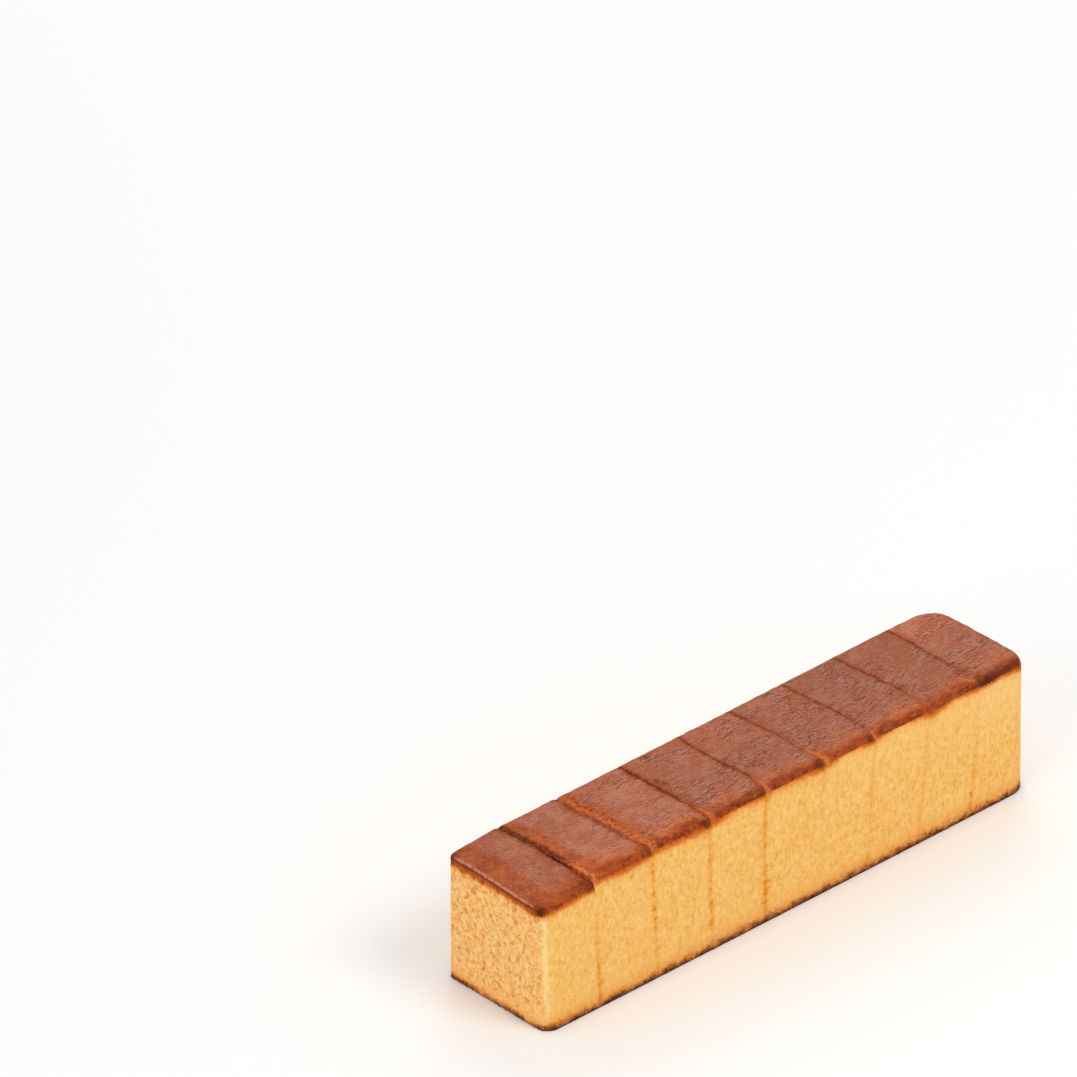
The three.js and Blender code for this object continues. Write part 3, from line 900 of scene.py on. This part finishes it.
    # painted shade and painted highlight of the crust's finest bumps: a noise less its own copy shifted a little
    painted_fine_emboss = sub(noise(1250, 2, 0.6, moved(coord, (0.00008, 0.00018, 0.0))), noise(1250, 2, 0.6, moved(coord, (-0.00008, -0.00018, 0.0))))
    c_grain = crackle(1080, warped(coord, 1300, 0.0004))
    upright = mapped(coord, scale=(1.0, 1.0, 0.52))
    n_streak = noise(820, 3, 0.6, upright)
    n_blob = noise(540, 4, 0.62, mapped(coord, scale=(1.0, 1.0, 0.62)), 0.3)

    # from crumb through the orange fringe to crust, over 8 mm of height
    t_over = add(over, add(mul(sub(n_mid, 0.5), 0.12), mul(sub(n_fine, 0.5), 0.07)))
    skin = ramp(t_over, [
        (0.00, lin(248, 193, 107)),
        (0.12, lin(247, 188, 103)),
        (0.25, lin(245, 178, 94)),
        (0.34, lin(241, 164, 79)),
        (0.42, lin(233, 142, 58)),
        (0.50, lin(216, 118, 42)),
        (0.58, lin(206, 105, 33)),
        (0.66, lin(188, 86, 24)),
        (0.76, lin(166, 66, 15)),
        (0.88, lin(146, 53, 11)),
        (1.00, lin(148, 57, 17)),
    ])
    crustness = over_(over, 0.58, 8.0)
    crumbness = sub(1.0, over_(over, 0.30, 5.0), True)

    # crumb: blotches, short upright streaks and pores; the end faces are coarser
    crumb_col = mixc(mul(under_(n_blob, 0.49, 9.0), 0.50), skin, lin(255, 214, 136))
    crumb_col = mixc(mul(over_(n_blob, 0.53, 9.0), 0.58), crumb_col, lin(234, 168, 70))
    crumb_col = mixc(mul(under_(n_streak, 0.46, 8.0), 0.28), crumb_col, lin(255, 222, 156))
    crumb_col = mixc(mul(over_(n_streak, 0.57, 8.0), 0.34), crumb_col, lin(229, 161, 60))
    crumb_col = mixc(mul(over_(n_patch, 0.54, 5.0), 0.18), crumb_col, lin(255, 213, 130))
    # painted shade in the pores
    crumb_col = mixc(mul(pore_shade, 0.45), crumb_col, lin(236, 162, 54))
    crumb_col = mixc(mul(speck, 0.66), crumb_col, lin(230, 160, 50))
    crumb_col = mixc(mul(pale, 0.60), crumb_col, lin(252, 208, 132))
    end_col = mixc(0.9, crumb_col, (1.06, 1.02, 1.15, 1.0), "MULTIPLY")
    # the end faces' torn relief: painted shade in its hollows and painted highlight on its ridges, over the bump
    n_worm = noise(450, 4, 0.62, None, 0.8)
    end_col = mixc(mul(over_(n_worm, 0.53, 9.0), 0.80), end_col, lin(208, 126, 60))
    end_col = mixc(mul(under_(n_worm, 0.47, 9.0), 0.60), end_col, lin(255, 224, 176))
    crumb_col = mixc(endface, crumb_col, end_col)
    # painted highlight on the rounded upright corners
    crumb_col = mixc(mul(corner_highlight, 0.55), crumb_col, lin(255, 226, 164))
    colour = mixc(crumbness, skin, crumb_col)

    # crust on top: burnt along the front edge, then orange brown, then pinkish brown, the pink partly a painted sheen
    t_front = add(front, add(mul(sub(n_patch, 0.5), 0.55), mul(sub(n_mid, 0.5), 0.20)))
    top_col = ramp(t_front, [
        (0.000, lin(178, 84, 26)),
        (0.060, lin(172, 76, 18)),
        (0.110, lin(158, 62, 12)),
        (0.160, lin(155, 60, 13)),
        (0.210, lin(175, 81, 25)),
        (0.270, lin(190, 96, 39)),
        (0.350, lin(195, 104, 49)),
        (0.440, lin(193, 107, 59)),
        (0.550, lin(180, 101, 62)),
        (0.700, lin(173, 100, 67)),
        (1.000, lin(163, 94, 67)),
    ])
    t_tone = add(tone_and_sheen, mul(sub(n_mid, 0.5), 1.5))
    top_col = mixc(mul(under_(t_tone, 0.50, 3.2), 0.66), top_col, lin(160, 80, 46))
    # pink blotches inside the top: partly the crust's own tone, partly a painted sheen
    top_col = mixc(mul(mul(over_(t_tone, 0.52, 3.2), over_(t_front, 0.26, 4.0)), 0.56), top_col, lin(180, 118, 97))
    top_col = mixc(mul(rim, 0.90), top_col, mixc(math_("MULTIPLY", sub(add(n_mid, n_patch), 0.82), 2.8, True), lin(146, 60, 17), lin(183, 91, 38)))
    lightness = add(level, 0.5)
    shade = t.nodes.new("ShaderNodeCombineColor")
    for k in range(3):
        t.links.new(lightness, shade.inputs[k])
    top_col = mixc(1.0, top_col, shade.outputs[0], "MULTIPLY")
    colour = mixc(mul(topface, crustness), colour, top_col)

    # the whole top is a little lighter than its sides
    colour = mixc(mul(topface, crustness), colour, mixc(1.0, colour, (1.07, 1.04, 1.00, 1.0), "MULTIPLY"))

    # creases, grain and dark places in the crust, with painted shade and painted highlights on its small bumps
    grained = mul(crustness, topface)
    inner = mul(mul(grained, over_(t_front, 0.26, 4.5)), sub(1.0, mul(rim, 0.6)))
    rugged = add(mul(leather, 0.75), 0.25)
    painted_emboss_weight = add(mul(leather, 0.70), 0.62)
    # painted shade on one side of the fine bumps, and a pale pink painted highlight on the other
    colour = mixc(mul(mul(over_(painted_fine_emboss, 0.022, 10.0), mul(grained, painted_emboss_weight)), 0.52), colour, lin(128, 52, 26))
    colour = mixc(mul(mul(under_(painted_fine_emboss, -0.022, 10.0), mul(inner, painted_emboss_weight)), 0.45), colour, lin(206, 150, 132))
    patchy = mul(rugged, add(mul(over_(n_gate, 0.44, 6.0), 0.85), 0.15))
    # painted shade and painted highlight of the small bumps
    colour = mixc(mul(mul(over_(painted_bump_shade, 0.024, 9.0), mul(grained, patchy)), 0.64), colour, lin(122, 48, 24))
    colour = mixc(mul(mul(under_(painted_bump_shade, -0.024, 9.0), mul(inner, patchy)), 0.46), colour, lin(206, 150, 132))
    # the dark arcs are real creases in the bump and painted shade in the colour; the light ones are a painted highlight
    arc_gate = mul(over_(n_gate, 0.47, 12.0), add(mul(leather, 0.9), 0.10))
    arc_creases_and_shade = mul(over_(scale_emboss, 0.024, 70.0), arc_gate)
    arc_painted_highlight = mul(under_(scale_emboss, -0.024, 70.0), arc_gate)
    colour = mixc(mul(mul(arc_creases_and_shade, grained), 0.60), colour, lin(104, 42, 22))
    colour = mixc(mul(mul(arc_painted_highlight, inner), 0.30), colour, lin(208, 152, 132))
    # painted shade in the creases and pits
    colour = mixc(mul(wrinkle_shade, 0.46), colour, lin(112, 44, 22))
    colour = mixc(mul(mul(over_(n_fine, 0.57, 8.0), crustness), 0.32), colour, lin(118, 46, 22))
    # pale pink specks inside the top: painted glints
    colour = mixc(mul(mul(under_(n_fine, 0.43, 8.0), inner), 0.26), colour, lin(206, 148, 128))
    # painted highlight on the near end's top edge
    colour = mixc(mul(edge_highlight, 0.74), colour, lin(219, 150, 127))
    colour = mixc(mul(burn, add(mul(endface, 0.06), 0.60)), colour, lin(88, 28, 12))
    colour = mixc(mul(spot, 0.85), colour, lin(70, 28, 14))
    # painted shade along the cuts on the top
    colour = mixc(mul(mul(cut_shade, crustness), 0.86), colour, lin(136, 58, 16))

    # torn places, their dark parts partly painted shade down in the cuts, and the stained lines of the cuts
    # the torn strips are painted darker in their hollows: painted shade
    rag = ramp(add(torn_tone_and_shade, add(mul(sub(relief_shade, 0.5), 0.35), mul(sub(n_mid, 0.5), 0.30))), [
        (0.00, lin(52, 20, 10)),
        (0.15, lin(88, 34, 12)),
        (0.32, lin(130, 54, 18)),
        (0.50, lin(172, 80, 34)),
        (0.68, lin(198, 100, 46)),
        (0.84, lin(220, 128, 64)),
        (1.00, lin(238, 160, 90)),
    ])
    colour = mixc(mul(torn, 0.92), colour, rag)
    stain = mixc(over_(foot, 0.30, 2.4), lin(212, 112, 16), lin(236, 150, 12))
    seam_ = mul(seam, add(mul(sub(n_mid, 0.5), 1.8), 0.95), True)
    colour = mixc(mul(seam_, 0.93), colour, stain)
    colour = mixc(mul(over_(seam_, 0.72, 3.0), 0.34), colour, lin(212, 118, 20))
    colour = mixc(mul(mark, 0.80), colour, lin(190, 112, 40))

    # bottom crust, over 12 mm of height
    foot_col = ramp(add(foot, add(mul(sub(n_mid, 0.5), 0.09), mul(sub(n_fine, 0.5), 0.05))), [
        (0.000, lin(86, 44, 25)),
        (0.050, lin(110, 60, 30)),
        (0.110, lin(146, 86, 41)),
        (0.170, lin(186, 112, 52)),
        (0.230, lin(213, 135, 62)),
        (0.300, lin(226, 147, 69)),
        (0.400, lin(240, 164, 79)),
        (0.560, lin(246, 180, 90)),
        (0.820, lin(248, 188, 99)),
        (1.000, lin(248, 190, 103)),
    ])
    foot_col = mixc(endface, foot_col, mixc(1.0, foot_col, (1.09, 1.08, 1.12, 1.0), "MULTIPLY"))
    low = under_(foot, 0.95, 2.2)
    colour = mixc(mul(low, add(mul(under_(foot, 0.34, 8.0), 0.45), 0.55)), colour, foot_col)
    t.links.new(colour, bsdf.inputs["Base Color"])

    rough = add(mul(crustness, -0.30), 0.92)
    rough = add(rough, mul(sub(n_mid, 0.5), 0.2), True)
    t.links.new(rough, bsdf.inputs["Roughness"])
    bsdf.inputs["Specular IOR Level"].default_value = 0.12

    vor = t.nodes.new("ShaderNodeTexVoronoi")
    vor.inputs["Scale"].default_value = 1100
    t.links.new(coord, vor.inputs["Vector"])
    crumb_h = add(mul(vor.outputs["Distance"], 0.5), add(mul(n_fine, 0.75), mul(n_streak, 0.4)))
    crumb_h = add(crumb_h, mul(mul(n_worm, endface), 0.6))
    crust_h = add(add(mul(n_fine, 0.45), mul(n_mid, 0.9)), mul(noise(820, 3, 0.62, g_at), add(mul(patchy, 0.9), 0.3)))
    crust_h = add(crust_h, mul(math_("MINIMUM", c_grain, 0.30), 0.6))
    crust_h = sub(crust_h, mul(arc_creases_and_shade, 0.40))
    hh = add(mul(crumb_h, sub(1.0, crustness)), mul(crust_h, crustness))
    bump = t.nodes.new("ShaderNodeBump")
    bump.inputs["Strength"].default_value = 1.0
    bump.inputs["Distance"].default_value = 0.0006
    t.links.new(hh, bump.inputs["Height"])
    t.links.new(bump.outputs[0], bsdf.inputs["Normal"])
    return m


sponge = sponge_material()
for n in range(9):
    ob = build_slice(n)
    ob.data.materials.append(sponge)
    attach(ob, "root")
    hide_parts("slice_%02d" % (n + 1))

# ---------------------------------------------------------------------------
# stage: pale floor and plain soft studio light
# ---------------------------------------------------------------------------
floor_me = bpy.data.meshes.new("floor")
F = 6.0
floor_me.from_pydata([(-F, -F, 0), (F, -F, 0), (F, F, 0), (-F, F, 0)], [], [(0, 1, 2, 3)])
floor = bpy.data.objects.new("floor", floor_me)
bpy.context.scene.collection.objects.link(floor)
fm = bpy.data.materials.new("floor_pale")
fm.use_nodes = True
fb = fm.node_tree.nodes["Principled BSDF"]
fb.inputs["Base Color"].default_value = (0.94, 0.94, 0.94, 1)
fb.inputs["Roughness"].default_value = 0.9
fb.inputs["Specular IOR Level"].default_value = 0.2
floor_me.materials.append(fm)

world = bpy.data.worlds.new("studio")
bpy.context.scene.world = world
world.use_nodes = True
bg = world.node_tree.nodes["Background"]
bg.inputs[0].default_value = (1.0, 0.995, 0.985, 1)
bg.inputs[1].default_value = 0.72


def area(name, azimuth, elevation, distance, size, power, colour=(1, 1, 1)):
    d = bpy.data.lights.new(name, "AREA")
    d.shape = "DISK"
    d.size = size
    d.energy = power
    d.color = colour
    o = bpy.data.objects.new(name, d)
    a, e = math.radians(azimuth), math.radians(elevation)
    v = Vector((math.sin(a) * math.cos(e), -math.cos(a) * math.cos(e), math.sin(e)))
    o.location = v * distance
    o.rotation_mode = "QUATERNION"
    o.rotation_quaternion = v.to_track_quat("Z", "Y")
    bpy.context.scene.collection.objects.link(o)


area("key", 15, 52, 1.6, 0.7, 6.5, (1.0, 0.985, 0.96))
area("fill", -80, 24, 1.8, 1.0, 6.2)
area("rim", 140, 40, 1.8, 1.0, 5.0)

sc = bpy.context.scene
sc.view_settings.view_transform = "Standard"
sc.view_settings.look = "None"
sc.view_settings.exposure = 0.0
sc.view_settings.gamma = 1.0

bpy.context.view_layer.update()
